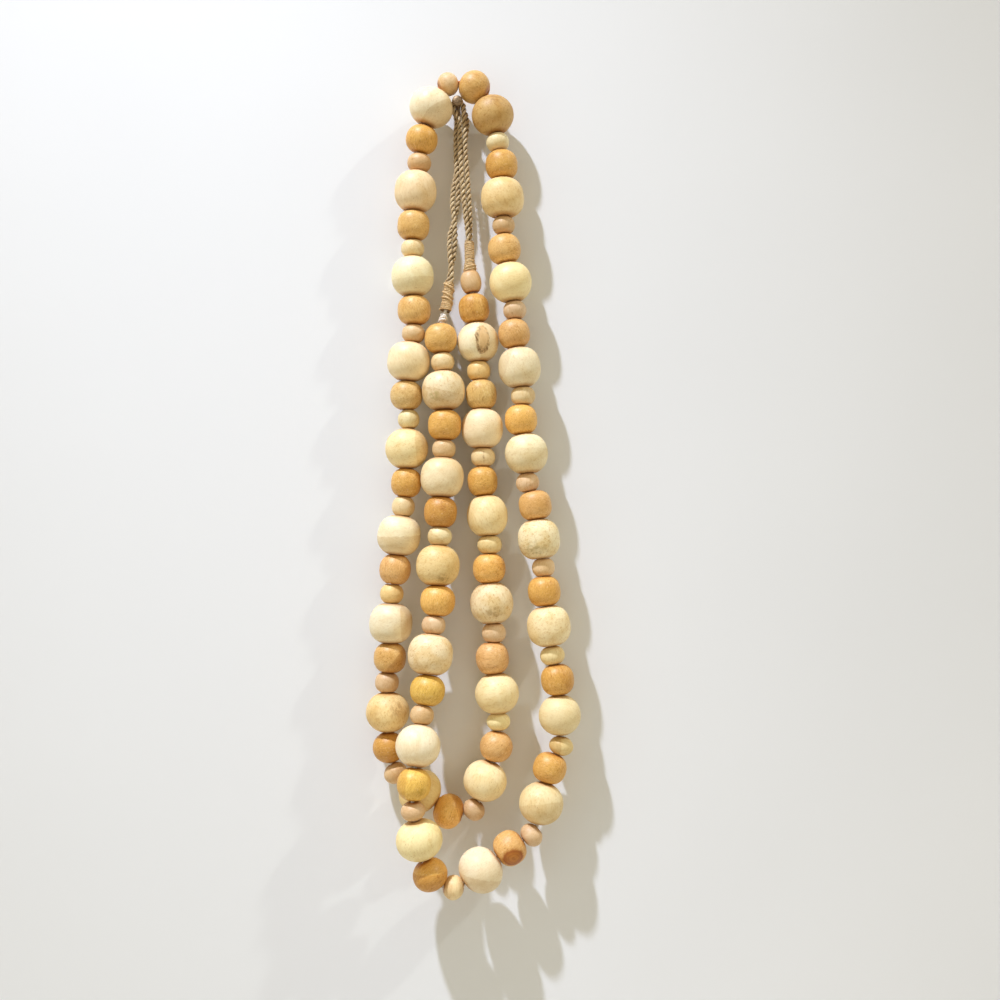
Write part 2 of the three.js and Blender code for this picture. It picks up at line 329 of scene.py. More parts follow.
def turning_frames(points):
    """Each point with two directions across the line, which are carried along without turning about it."""
    frames = []
    across = None
    for i, point in enumerate(points):
        along = (points[min(i + 1, len(points) - 1)] - points[max(i - 1, 0)]).normalized()
        if across is None:
            across = along.orthogonal().normalized()
        across = (across - along * across.dot(along)).normalized()
        frames.append((point, across, along.cross(across)))
    return frames


# ---- Beads threaded on their string

def repeat_node(number):
    """The CAD node of the repeat that this bead is in, counted from 1 at end A."""
    return f"repeat_{(number - 1) // len(ORDER) + 1:02d}"


def chord_end(course, start, length):
    end = start + length
    for _ in range(8):
        end += length - (course.at(end) - course.at(start)).length
    return end


def thread(course, kinds, play, slack):
    placed = []
    start = SUMMIT_GAP
    for index, kind in enumerate(kinds):
        bead = BEADS[kind]
        if index == len(kinds) - 1:
            start += slack
        gap = 0
        for _ in range(6):
            end = chord_end(course, start + gap, bead["length"])
            if not placed:
                break
            last_kind, last_near, last_far = placed[-1]
            bend = (course.at(end) - course.at(start + gap)).angle(last_far - last_near)
            gap = GAP + play + (bead["face"] + BEADS[last_kind]["face"]) / 2 * math.sin(bend)
        placed.append((kind, course.at(start + gap), course.at(end)))
        start = end
    return placed


def thread_beads():
    """The beads in order from end A to end B: kind, end towards A and end towards B."""
    kinds = [ORDER[index % len(ORDER)] for index in range(BEAD_COUNT)]
    inner = thread(Course(through(INNER_COURSE)), kinds[:INNER_BEADS][::-1], INNER_PLAY, END_SLACK)
    outer = thread(Course(through(OUTER_COURSE)), kinds[INNER_BEADS:], 0, 0)
    return [(kind, far, near) for kind, near, far in reversed(inner)] + outer


def seat_beads(beads):
    """The beads at their own sizes and seats: kind, both ends, and size across, where an even bead has 1."""
    seated = []
    for number, (kind, a, b) in enumerate(beads, 1):
        across, along, right, up = SEATS.get(number, (1, 1, 0, 0))
        middle = (a + b) / 2 + Vector((right, 0, up))
        half = (b - a) / 2 * along
        seated.append([kind, middle - half, middle + half, across])
    for before, after in zip(seated, seated[1:]):
        touch_neighbour(before, after)
    return seated


def touch_neighbour(before, after):
    """Makes two beads a little longer or shorter where they meet, so that they touch as on a real strand."""
    along, onwards = (before[2] - before[1]).normalized(), (after[2] - after[1]).normalized()
    face = (BEADS[before[0]]["face"] + BEADS[after[0]]["face"]) / 2
    apart = (after[1] - before[2]).dot((along + onwards).normalized())
    spare = apart - TOUCH_GAP - face * math.sin(along.angle(onwards))
    reach = min(max(spare, -MOST_REACH), MOST_REACH) / 2
    before[2] = before[2] + along * reach
    after[1] = after[1] - onwards * reach


def check_against_frame(beads):
    """Each bead lies in the box of its repeat in the CAD frame."""
    for number, (kind, a, b) in enumerate(beads, 1):
        low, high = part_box(repeat_node(number))
        middle = (a + b) / 2 * MM
        reach = (BEADS[kind]["length"] / 2 - 1) * MM
        if any(middle[i] - reach < low[i] or middle[i] + reach > high[i] for i in range(3)):
            raise ValueError(f"bead {number} is outside its repeat")


# ---- Finishes

class Value:
    """A socket's value in a finish, on which sums are written as sums."""

    def __init__(self, finish, socket):
        self.finish = finish
        self.socket = socket

    def __add__(self, other):
        return self.finish.maths("ADD", self, other)

    def __sub__(self, other):
        return self.finish.maths("SUBTRACT", self, other)

    def __rsub__(self, other):
        return self.finish.maths("SUBTRACT", other, self)

    def __mul__(self, other):
        return self.finish.maths("MULTIPLY", self, other)

    __radd__ = __add__
    __rmul__ = __mul__


class Finish:
    """A procedural material, built node by node."""

    def __init__(self, name):
        self.material = bpy.data.materials.new(name)
        self.material.use_nodes = True
        self.tree = self.material.node_tree
        self.tree.nodes.clear()

    def node(self, kind, settings=None, sockets=None, out=0):
        made = self.tree.nodes.new(kind)
        for name, value in (settings or {}).items():
            setattr(made, name, value)
        for name, value in (sockets or {}).items():
            if isinstance(value, Value):
                self.tree.links.new(value.socket, made.inputs[name])
            else:
                made.inputs[name].default_value = value
        return Value(self, made.outputs[out]) if made.outputs else None

    def maths(self, operation, *values):
        return self.node("ShaderNodeMath", {"operation": operation}, dict(enumerate(values)))

    def attribute(self, name, out="Vector"):
        return self.node("ShaderNodeAttribute", {"attribute_name": name}, out=out)

    def object_place(self):
        return self.node("ShaderNodeTexCoord", out="Object")

    def parts(self, vector):
        first = self.node("ShaderNodeSeparateXYZ", sockets={0: vector})
        outputs = first.socket.node.outputs
        return [Value(self, outputs[i]) for i in range(3)]

    def vector(self, x, y, z):
        return self.node("ShaderNodeCombineXYZ", sockets={0: x, 1: y, 2: z})

    def scaled(self, vector, factors):
        return self.node("ShaderNodeVectorMath", {"operation": "MULTIPLY"}, {0: vector, 1: factors})

    def length(self, vector):
        return self.node("ShaderNodeVectorMath", {"operation": "LENGTH"}, {0: vector}, out="Value")

    def cloud(self, vector, scale=1, detail=2, roughness=0.5):
        sockets = {"Vector": vector, "Scale": scale, "Detail": detail, "Roughness": roughness}
        return self.node("ShaderNodeTexNoise", sockets=sockets)

    def cells(self, vector):
        return self.node("ShaderNodeTexVoronoi", sockets={"Vector": vector, "Scale": 1}, out="Distance")

    def rise(self, value, low, high):
        """Goes smoothly from 0 to 1 as the value goes from low to high, which may be the smaller one."""
        sockets = {"Value": value, "From Min": low, "From Max": high}
        return self.node("ShaderNodeMapRange", {"interpolation_type": "SMOOTHSTEP"}, sockets)

    def blend(self, share, first, second, mode="MIX"):
        """From the first colour to the second by this share. A colour is a value or a painter's mix."""
        settings = {"data_type": "RGBA", "blend_type": mode, "clamp_factor": True}
        first, second = (colour(*mix) if isinstance(mix, tuple) else mix for mix in (first, second))
        return self.node("ShaderNodeMix", settings, {0: share, 6: first, 7: second}, out=2)

    def deeper(self, base, share, stain):
        """The base stained by a share of a see-through colour."""
        return self.blend(share, base, self.blend(1, base, stain, "MULTIPLY"))

    def bump(self, height, depth, strength):
        sockets = {"Height": height, "Distance": depth, "Strength": strength}
        return self.node("ShaderNodeBump", sockets=sockets)

    def surface(self, sockets):
        shader = self.node("ShaderNodeBsdfPrincipled", sockets=sockets)
        self.node("ShaderNodeOutputMaterial", sockets={0: shader})
        return self.material


def colour(red, green, blue):
    """A colour as a painter's 0 to 255 mix, made linear."""
    def linear(part):
        part /= 255
        return part / 12.92 if part <= 0.04045 else ((part + 0.055) / 1.055) ** 2.4
    return (linear(red), linear(green), linear(blue), 1)


def wood_marks(f, woody, base, patchy):
    """The base with the bead's own knot, blotchy stain or broken streak, and how hollow it is there."""
    mark = f.attribute("mark", "Color")
    patch = f.attribute("mark", "Alpha")
    knot = f.rise(patch, 0.5, 0)
    streak = f.rise(patch, 0.5, 1)
    away = f.length(f.attribute("spot"))
    rough_edge = woody((0.5, 0.5, 0.3)) - 0.5
    reach = away + rough_edge * (0.7 - knot * 0.4)
    inside = f.rise(reach, 1.05, 0.8 - knot * 0.2)
    ring = f.rise(reach, 0.35, 0.75) * inside
    rings = f.rise(f.maths("SINE", reach * 19), -0.2, 1) * inside
    broken = f.rise(woody((0.45, 0.45, 0.25), 4, 0.7), 0.42, 0.56)
    spread = f.rise(away + rough_edge * 2, 1.15, 0.2)
    stain = (1 - knot - streak) * spread * (0.12 + broken * 0.6)
    worn = broken * 0.5 + f.rise(patchy, 0.42, 0.58) * 0.45
    base = f.deeper(base, inside * streak * 0.55, (238, 200, 146))
    base = f.blend(inside * knot * 0.88 + stain + ring * worn * streak, base, mark)
    return f.deeper(base, (ring * 0.7 + rings * 0.3) * knot, (196, 146, 80)), ring * broken


def wood_finish(name, rough, coat, layering, grit):
    """Turned wood. Each bead carries its own grain direction, tint, mark and darkening edge, which is partly
    painted shadow and partly the wood's own tone; painted shade darkens the bead towards its end faces.
    """
    f = Finish(name)
    grain = f.attribute("grain")

    def woody(stretch, detail=3, roughness=0.6, scale=1):
        return f.cloud(f.scaled(grain, stretch), scale, detail, roughness)

    across, through_wood, along = f.parts(grain)
    warp = woody((0.09, 0.09, 0.05), 2, 0.5)
    layer_place = f.vector(across * 0.75 + warp * 3.4, through_wood * 0.06, along * 0.02)
    layers = f.cloud(layer_place, detail=3, roughness=0.55)
    fibres = woody((1.9, 1.9, 0.13), 4)
    blotch = woody((0.11, 0.11, 0.07), 2, 0.5)
    patchy = woody((0.22, 0.22, 0.1))
    speckle = woody((1.15, 1.15, 0.75), 3, 0.7)
    mottle = woody((0.5, 0.5, 0.3), scale=1.3)
    wander = (woody((0.25, 0.25, 0.25), 2, 0.5) - 0.5) * 1.6
    edge, change, flecks = f.parts(f.attribute("edge"))
    pore_cells = f.cells(f.scaled(grain, (0.95, 0.95, 0.2)))
    pores = f.rise(pore_cells, 0.17, 0.06) * f.rise(patchy + flecks * 0.3, 0.5, 0.72)
    dusting = (f.rise(patchy, 0.38, 0.62) * 0.3 + 0.1) * grit

    base = f.attribute("tint", "Color")
    base = f.deeper(base, f.rise(layers, 0.36, 0.66) * layering, (238, 226, 200))
    base = f.deeper(base, f.rise(fibres, 0.42, 0.72) * (0.4 * grit), (228, 210, 178))
    base = f.deeper(base, f.rise(speckle, 0.52, 0.66) * dusting, (206, 174, 128))
    base = f.blend(f.rise(speckle, 0.42, 0.32) * (0.16 * grit), base, (252, 238, 206))
    base = f.deeper(base, f.rise(blotch, 0.4, 0.68) * (0.3 + flecks * 0.5), (240, 224, 190))
    base = f.deeper(base, f.rise(mottle, 0.5, 0.7) * (flecks * 0.6 + 0.1 * grit), (222, 196, 148))
    # Darker past the bead's straight edge: partly painted shadow of a neighbouring bead, partly the wood's own
    # tone.
    base = f.deeper(base, f.rise(edge + wander, -0.35, 0.35) * change, (214, 188, 148))
    base = f.deeper(base, pores * 0.7, (176, 140, 98))
    # Painted shade: darker towards the end faces, where the beads meet.
    base = f.deeper(base, f.rise(f.attribute("tint", "Alpha"), 0.84, 1) * 0.75, (200, 158, 108))
    base, hollow = wood_marks(f, woody, base, patchy)

    height = fibres * 0.5 + layers * 0.35 - pores * 1.1 - hollow * 0.6
    return f.surface({
        "Base Color": base,
        "Roughness": rough + (fibres - 0.5) * 0.22 + pores * 0.2 + (patchy - 0.5) * 0.12,
        "Coat Weight": coat,
        "Coat Roughness": 0.42,
        "Specular IOR Level": 0.5,
        "Normal": f.bump(height, 0.00009, 0.6),
    })


def jute_finish(name, length, girth, pale, dark, twist):
    """Spun jute: fibres that run along the yarn and turn slowly about it, with painted shade down between the
    yarns. Its length and girth are in millimetres."""
    f = Finish(name)
    u, v, _ = f.parts(f.node("ShaderNodeUVMap", {"uv_map": "UVMap"}))
    run = u * length
    turn = v * TURN + run * twist
    place = f.vector(f.maths("COSINE", turn) * girth, f.maths("SINE", turn) * girth, run * 0.22)
    fibres = f.cloud(place, scale=3.4, detail=4, roughness=0.65)
    hanks = f.cloud(place, scale=1.1, detail=2)
    lengthwise = f.cloud(f.vector(run * 0.11, 0, 0), detail=3)
    base = f.blend(f.rise(fibres, 0.36, 0.66), pale, dark)
    base = f.deeper(base, f.rise(hanks, 0.45, 0.7) * 0.4, (220, 198, 162))
    base = f.deeper(base, f.rise(lengthwise, 0.45, 0.68) * 0.25, (228, 210, 180))
    base = f.blend(f.rise(fibres, 0.42, 0.3) * 0.6, base, (246, 230, 192))
    groove = f.attribute("groove", "Fac")
    # Painted shade down between the yarns, darkest at the bottom of the groove.
    base = f.blend(f.rise(groove, 0.2, 0.95) * 0.82, base, (88, 64, 34))
    return f.surface({
        "Base Color": base,
        "Roughness": 0.78 + (fibres - 0.5) * 0.25,
        "Sheen Weight": 0.1,
        "Sheen Roughness": 0.5,
        "Normal": f.bump(fibres + hanks * 0.6, 0.00016, 0.8),
    })


def string_finish(name, length, girth):
    """Cotton string of two strands, off-white and tan above the knot, with painted shade in the groove between
    its strands, and painted shade and orange reflected light at its top, where it passes between two beads over
    the nail.
    """
    f = Finish(name)
    u, v, _ = f.parts(f.node("ShaderNodeUVMap", {"uv_map": "UVMap"}))
    run = u * length
    turn = v * TURN * 2 - run * 2.1
    strand = f.maths("SINE", turn)
    place = f.vector(strand * girth, v * 3, run * 0.5)
    fibres = f.cloud(place, scale=2.6, detail=3, roughness=0.6)
    height = f.parts(f.object_place())[2]
    # Painted shade and orange light reflected from the beads, at the top of the string where it passes between
    # two beads over the nail.
    painted_summit_shade = f.rise(height, -0.02, 0.004)
    # Tan everywhere above the knot, white at the knot.
    tan_above_knot = f.rise(height, -0.124, -0.112) * 0.6
    base = f.blend(f.rise(fibres, 0.35, 0.7), (252, 247, 238), (232, 220, 202))
    # Painted shade in the groove between the two strands.
    base = f.blend(f.rise(strand, -0.4, -0.95) * 0.4, base, (196, 176, 150))
    base = f.blend(tan_above_knot, base, (205, 165, 125))
    base = f.blend(painted_summit_shade, base, (206, 122, 56))
    return f.surface({
        "Base Color": base,
        "Roughness": 0.75 + (fibres - 0.5) * 0.2,
        "Normal": f.bump(strand * 0.6 + fibres, 0.00018, 0.8),
    })


def fibre_finish():
    f = Finish("loose jute fibres")
    place = f.object_place()
    shade = f.cloud(place, scale=420, detail=2)
    base = f.blend(f.rise(shade, 0.35, 0.65), (222, 196, 148), (160, 126, 82))
    return f.surface({"Base Color": base, "Roughness": 0.7 + (shade - 0.5) * 0.2})


def steel_finish():
    """Dull round-headed steel, with a faint bloom and fine scratches."""
    f = Finish("nail steel")
    place = f.object_place()
    scratches = f.cloud(f.scaled(place, (5200, 300, 900)), detail=3, roughness=0.6)
    bloom = f.cloud(place, scale=900, detail=3)
    base = f.blend(f.rise(bloom, 0.35, 0.7), (156, 130, 98), (104, 82, 56))
    base = f.blend(f.rise(scratches, 0.55, 0.75) * 0.4, base, (184, 166, 140))
    return f.surface({
        "Base Color": base,
        "Metallic": 0.7,
        "Roughness": 0.5 + (bloom - 0.5) * 0.25 + (scratches - 0.5) * 0.15,
        "Normal": f.bump(scratches, 0.00002, 0.5),
    })


# ---- Pieces

def mesh_of(bm, name):
    mesh = bpy.data.meshes.new(name)
    bm.to_mesh(mesh)
    bm.free()
    return mesh


def write_attribute(mesh, name, rows):
    """Gives each of the mesh's points a row of one, three or four numbers for the finish to read."""
    kinds = {1: ("FLOAT", "value"), 3: ("FLOAT_VECTOR", "vector"), 4: ("FLOAT_COLOR", "color")}
    kind, field = kinds[len(rows[0])]
    mesh.attributes.new(name, kind, "POINT").data.foreach_set(field, [part for row in rows for part in row])


def finish_piece(mesh, material, slot, *nodes):
    """The mesh as a piece of its own, named after it, in place of these nodes."""
    mesh.materials.clear()
    mesh.materials.append(material)
    for polygon in mesh.polygons:
        polygon.use_smooth = True
    piece = bpy.data.objects.new(mesh.name, mesh)
    scene.collection.objects.link(piece)
    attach(piece, BODY)
    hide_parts(*nodes)
    return piece


def tubes(name, lines, radius, sides, taper=0.0):
    """Round yarns along lines of points in millimetres, as one mesh. They taper by this share on the way."""
    curve = bpy.data.curves.new(name, "CURVE")
    curve.dimensions = "3D"
    curve.bevel_mode = "ROUND"
    curve.bevel_depth = radius * MM
    curve.bevel_resolution = sides // 2 - 2
    curve.use_fill_caps = True
    for line in lines:
        spline = curve.splines.new("POLY")
        spline.points.add(len(line) - 1)
        for i, point in enumerate(line):
            spline.points[i].co = (*(point * MM), 1)
            spline.points[i].radius = 1 - taper * i / (len(line) - 1)
    holder = bpy.data.objects.new(name, curve)
    scene.collection.objects.link(holder)
    evaluated = holder.evaluated_get(bpy.context.evaluated_depsgraph_get())
    mesh = bpy.data.meshes.new_from_object(evaluated)
    bpy.data.objects.remove(holder)
    bpy.data.curves.remove(curve)
    bm = bmesh.new()
    bm.from_mesh(mesh)
    bpy.data.meshes.remove(mesh)
    bmesh.ops.remove_doubles(bm, verts=bm.verts, dist=SAME_PLACE)
    bmesh.ops.recalc_face_normals(bm, faces=bm.faces)
    return mesh_of(bm, name)


def turned(section, facets, closed=False):
    """A round body about Z, spun from a section of distances out and heights in millimetres. An open section
    starts and ends on the axis."""
    bm = bmesh.new()
    verts = [bm.verts.new((out * MM, 0, height * MM)) for out, height in section]
    for first, second in zip(verts, verts[1:]):
        bm.edges.new((first, second))
    if closed:
        bm.edges.new((verts[-1], verts[0]))
    bmesh.ops.spin(
        bm,
        geom=[*bm.verts, *bm.edges],
        cent=(0, 0, 0),
        axis=(0, 0, 1),
        angle=TURN,
        steps=facets,
        use_merge=True,
        use_duplicate=False,
    )
    bmesh.ops.remove_doubles(bm, verts=bm.verts, dist=SAME_PLACE)
    bmesh.ops.recalc_face_normals(bm, faces=bm.faces)
    return bm


def stand(bm, matrix):
    """Moves a turned body from the axis of Z to its place."""
    bmesh.ops.transform(bm, matrix=matrix, verts=bm.verts)
    bmesh.ops.recalc_face_normals(bm, faces=bm.faces)


def along_line(start, direction):
    """The way from Z to a line from this start, in millimetres, in this direction."""
    return Matrix.Translation(start * MM) @ direction.to_track_quat("Z", "Y").to_matrix().to_4x4()


# ---- The beads

# Tints, as a sorter would name them.
TINTS = {
    "ivory": (254, 239, 199),
    "cream": (252, 232, 184),
    "butter": (252, 231, 175),
    "oat": (250, 221, 156),
    "tan": (208, 170, 104),
    "honey": (233, 190, 116),
    "amber": (234, 183, 95),
    "gold": (252, 200, 108),
    "rosy": (233, 186, 118),
    "russet": (214, 160, 76),
    "mustard": (240, 198, 94),
    "beige": (243, 218, 168),
    "pink": (236, 204, 158),
    "fawn": (222, 187, 137),
    "straw": (244, 219, 154),
    "wheat": (238, 204, 134),
    "pale": (252, 236, 186),
}

# One row for each repeat: the small, medium and large bead's tint. The last repeat has no large bead.
STRAND_TINTS = [
    ("fawn", "amber", "ivory"),
    ("wheat", "wheat", "cream"),
    ("beige", "amber", "butter"),
    ("straw", "gold", "cream"),
    ("pink", "rosy", "butter"),
    ("butter", "rosy", "butter"),
    ("fawn", "gold", "oat"),
    ("fawn", "russet", "oat"),
    ("fawn", "honey", "ivory"),
    ("wheat", "rosy", "ivory"),
    ("beige", "amber", "butter"),
    ("pale", "wheat", "cream"),
    ("pink", "honey", "ivory"),
    ("cream", "honey", "beige"),
    ("fawn", "amber", "ivory"),
    ("pink", "honey", "tan"),
    ("pale", "amber", "oat"),
    ("fawn", "honey", "butter"),
    ("pink", "rosy", "ivory"),
    ("beige", "gold", "ivory"),
    ("pink", "rosy", "ivory"),
    ("pink", "amber", "cream"),
    ("butter", "amber", "butter"),
    ("straw", "amber", "butter"),
    ("pink", "rosy", "ivory"),
    ("beige", "amber", "butter"),
    ("fawn", "mustard", "ivory"),
    ("fawn", "mustard", "cream"),
    ("pink", "gold", "oat"),
    ("pale", "russet", "cream"),
    ("pink", "amber", "cream"),
    ("beige", "honey"),
]

# Beads darker past a straight edge, partly painted shadow of a neighbouring bead and partly the wood's own
# tone:
# the direction of the darker side (right, up), how far the edge is from the bead's middle in that direction, in
# millimetres, and how dark the far side is.
SHADOW_AND_TONE_EDGES = {
    3: ((1, 0.05), 0.6, 0.42),
    20: ((1, 0.3), 4.5, 0.55),
    26: ((0.8, -0.6), 2.5, 0.5),
    27: ((1, 0.05), 6.2, 0.38),
    30: ((0.02, -1), -0.4, 0.4),
    33: ((1, 0.05), 6.2, 0.4),
    39: ((0.1, -1), 1.5, 0.25),
    45: ((0.6, -0.8), 4.5, 0.34),
    60: ((0.1, -1), -0.5, 0.18),
    70: ((-1, 0.05), 1.2, 0.45),
    72: ((0.1, -1), 0, 0.25),
    75: ((-0.2, -1), 2.5, 0.3),
    76: ((-1, 0.15), 0.8, 0.35),
    77: ((0.05, -1), -2.4, 0.5),
    80: ((-1, 0.1), 3.4, 0.45),
    93: ((-0.2, -1), 0, 0.35),
}

# Knots and stains: the middle's place across and up from the bead's own middle, half its width and height, in
# millimetres, its colour, and whether it is a whole knot, 0, a blotchy stain, 0.5, or a broken streak, 1.
MARKS = {
    3: ((3, -0.4), (4.5, 12.3), (116, 78, 28), 1),
    7: ((0.4, 0), (0.7, 3.4), (150, 112, 72), 0.5),
    12: ((2, -5), (6, 4), (186, 150, 90), 0.5),
    24: ((6, 3), (6, 6), (190, 146, 84), 0.5),
    48: ((1.5, 6), (9, 4.5), (170, 122, 62), 0.5),
    63: ((-3.5, -6), (8, 4.5), (186, 162, 104), 0.5),
    74: ((2.2, -4), (7.3, 6.4), (190, 114, 0), 0),
    80: ((3.6, -3.4), (4.6, 3), (196, 150, 40), 0.5),
    87: ((3.6, -7.6), (5, 3), (160, 124, 52), 0.5),
    89: ((2, 1.5), (2.2, 2), (170, 104, 40), 0.5),
    93: ((-4.4, -4.6), (4.2, 3.4), (186, 160, 92), 0.5),
}

# How thickly the wood is flecked, where it isn't the usual little.
FLECKED = {
    2: 0.7, 11: 0.6, 12: 0.9, 24: 0.8, 32: 0.6, 48: 1,
    51: 0.5, 63: 0.9, 66: 0.6, 84: 0.8, 87: 0.6, 93: 0.6,
}

# The three woods: how rough and how coated they are, how strongly their layers show, and how thickly they are
# speckled.
WOODS = {
    "small": (0.5, 0.05, 0.22, 0.8),
    "medium": (0.47, 0.08, 0.3, 1.7),
    "large": (0.5, 0.04, 0.16, 0.7),
}


def bead_section(radius, half, face, hole, squareness):
    """Half a bead cut along its hole, as a closed outline: side, upper face, drilled hole and lower face."""
    tall = half / (1 - (face / radius) ** squareness) ** (1 / squareness)
    top = math.asin((half / tall) ** (squareness / 2))
    steps = 18
    side = []
    for i in range(steps + 1):
        angle = -top + 2 * top * i / steps
        height = math.copysign(abs(math.sin(angle)) ** (2 / squareness), angle) * tall
        side.append((radius * math.cos(angle) ** (2 / squareness), height))
    lip = [(hole + 0.32, half), (hole + 0.1, half - 0.1), (hole, half - 0.34)]
    upper = [(face - 0.22, half - 0.005), *lip]
    lower = [(r, -z) for r, z in reversed(upper)]
    wall = [(hole, half * share) for share in (0.6, 0.2, -0.2, -0.6)]
    return [*side, *upper, *wall, *lower]


def bead_body(number, kind, radius, length, bend, chance):
    """A bead about Z, rounder and with smaller faces where the strand bends, and a little lopsided, as turned
    by hand."""
    size = BEADS[kind]
    drawn = {name: chance.uniform(*bead["square"]) for name, bead in BEADS.items()}
    squareness = max(2.05, drawn[kind] - 1.6 * math.sin(bend))
    face = size["face"] * max(1, 1.52 - 3.5 * math.sin(bend))
    section = bead_section(radius, length / 2, face, size["hole"], squareness)
    bm = turned(section, size["facets"], closed=True)
    seed = Vector((number * 7.3, number * 3.1, number * 5.7))
    for vert in bm.verts:
        outwards = Vector((vert.co.x, vert.co.y, 0))
        if outwards.length > (face + 0.3) * MM:
            swell = noise.noise(vert.co.normalized() * 1.3 + seed) * 0.014
            vert.co += outwards * swell
    return bm


def grain_rows(places, axis, chance):
    """Where each place lies in the wood, whose fibres run mostly along the hole or across it."""
    lean = axis.lerp(Vector([chance.uniform(-1, 1) for _ in range(3)]), 0.35)
    if chance.random() < 0.45:
        lean = axis.cross(Vector((chance.uniform(-1, 1), chance.uniform(-1, 1), chance.uniform(-0.3, 0.3))))
    lean.normalize()
    layered = lean.orthogonal().normalized()
    layered.rotate(Matrix.Rotation(chance.uniform(0, TURN), 3, lean))
    third = lean.cross(layered)
    shift = Vector([chance.uniform(-400, 400) for _ in range(3)])
    return [(at.dot(layered) + shift.x, at.dot(third) + shift.y, at.dot(lean) + shift.z) for at in places]


def edge_rows(places, number, diameter, chance):
    """How far each place is beyond the bead's darkening edge (painted shadow and tone on the listed beads, tone
    on the rest), how dark that side is, and how flecked the wood.
    """
    if number in SHADOW_AND_TONE_EDGES:
        (right, up), offset, change = SHADOW_AND_TONE_EDGES[number]
    else:
        right, up = chance.uniform(-1, 1), chance.uniform(-1, 1)
        offset = chance.uniform(0, 0.35) * diameter
        change = chance.uniform(0.12, 0.3) if chance.random() < 0.4 else 0
    towards = Vector((right, chance.uniform(-0.15, 0.15), up)).normalized()
    flecks = FLECKED.get(number, chance.uniform(0.1, 0.4))
    return [(at.dot(towards) - offset, change, flecks) for at in places]


def spot_rows(places, number, radius):
    """Where each place lies from the middle of the bead's mark, whose rim is at 1, or else far off."""
    if number not in MARKS:
        return [(9, 9, 9)] * len(places)
    (x, z), (half_x, half_z) = MARKS[number][:2]
    middle = Vector((x, -math.sqrt(max(1, radius * radius - x * x - z * z)), z))
    ways = [at - middle for at in places]
    return [(way.x / half_x, way.y / max(half_x, 4), way.z / half_z) for way in ways]


def tint_rows(places, number, axis, length, chance):
    """The bead's tint, and how near each place is to its end faces, where the finish paints shade."""
    red, green, blue = TINTS[STRAND_TINTS[(number - 1) // len(ORDER)][(number - 1) % len(ORDER)]]
    lighter = chance.uniform(0.965, 1.03)
    warmer = chance.uniform(0.97, 1.03)
    tint = colour(min(255, red * lighter), green * lighter, blue * lighter * warmer)[:3]
    return [(*tint, min(1, 2 * abs(at.dot(axis)) / length)) for at in places]


def make_bead(number, kind, a, b, across, bend, finish, chance):
    axis = (b - a).normalized()
    middle = (a + b) / 2
    length = (b - a).length
    diameter = BEADS[kind]["diameter"]
    radius = diameter / 2 * across
    bm = bead_body(number, kind, radius, length, bend, chance)
    stand(bm, along_line(middle, axis))
    mesh = mesh_of(bm, f"bead_{number:02d}")
    places = [vert.co / MM - middle for vert in mesh.vertices]
    mark = (*colour(*MARKS[number][2])[:3], MARKS[number][3]) if number in MARKS else (0, 0, 0, 0)
    write_attribute(mesh, "grain", grain_rows(places, axis, chance))
    write_attribute(mesh, "edge", edge_rows(places, number, diameter, chance))
    write_attribute(mesh, "spot", spot_rows(places, number, radius))
    write_attribute(mesh, "tint", tint_rows(places, number, axis, length, chance))
    write_attribute(mesh, "mark", [mark] * len(places))
    finish_piece(mesh, finish, f"bead_{kind}", repeat_node(number))


def make_beads(beads):
    finishes = {kind: wood_finish(f"{kind} bead wood", *wood) for kind, wood in WOODS.items()}
    chance = random.Random(41)
    axes = [(b - a).normalized() for _, a, b, _ in beads]
    for i, (kind, a, b, across) in enumerate(beads):
        neighbours = [axes[j] for j in (i - 1, i + 1) if 0 <= j < len(beads)]
        bend = max(axes[i].angle(other) for other in neighbours)
        make_bead(i + 1, kind, a, b, across, bend, finishes[kind], chance)


# ---- The string

def string_line(beads):
    """From inside one whipping to inside the other, straight through each bead and rounded between two."""
    inset = 2.6
    straights = []
    for _, a, b, _ in beads:
        along = (b - a).normalized()
        straights.append((a + along * inset, b - along * inset))
    line = [Vector(WHIPPINGS["a"]["bottom"]) + Vector((0, 0, 3)), straights[0][0]]
    for (_, leave), (arrive, _), before, after in zip(straights, straights[1:], beads, beads[1:]):
        bend = (before[2] + after[1]) / 2
        for t in shares(4):
            line.append(leave.lerp(bend, t).lerp(bend.lerp(arrive, t), t))
    line.append(straights[-1][1])
    line.append(Vector(KNOT["bottom"]).lerp(beads[-1][2], 0.3))
    line.append(Vector(KNOT["top"]))
    line.append(Vector(WHIPPINGS["b"]["bottom"]) + Vector((0.2, 0, 2.5)))
    return line


def make_string(beads):
    line = string_line(beads)
    course = Course(line)
    mesh = tubes("bead_string", [course.even(2)], STRING_DIAMETER / 2, sides=8)
    finish = string_finish("cotton string", course.length, STRING_DIAMETER / 2)
    nodes = [repeat_node(number) for number in range(1, BEAD_COUNT + 1, len(ORDER))]
    piece = finish_piece(mesh, finish, "string", *nodes)
    line[0] * MM
    [point * MM for point in course.even(2)]


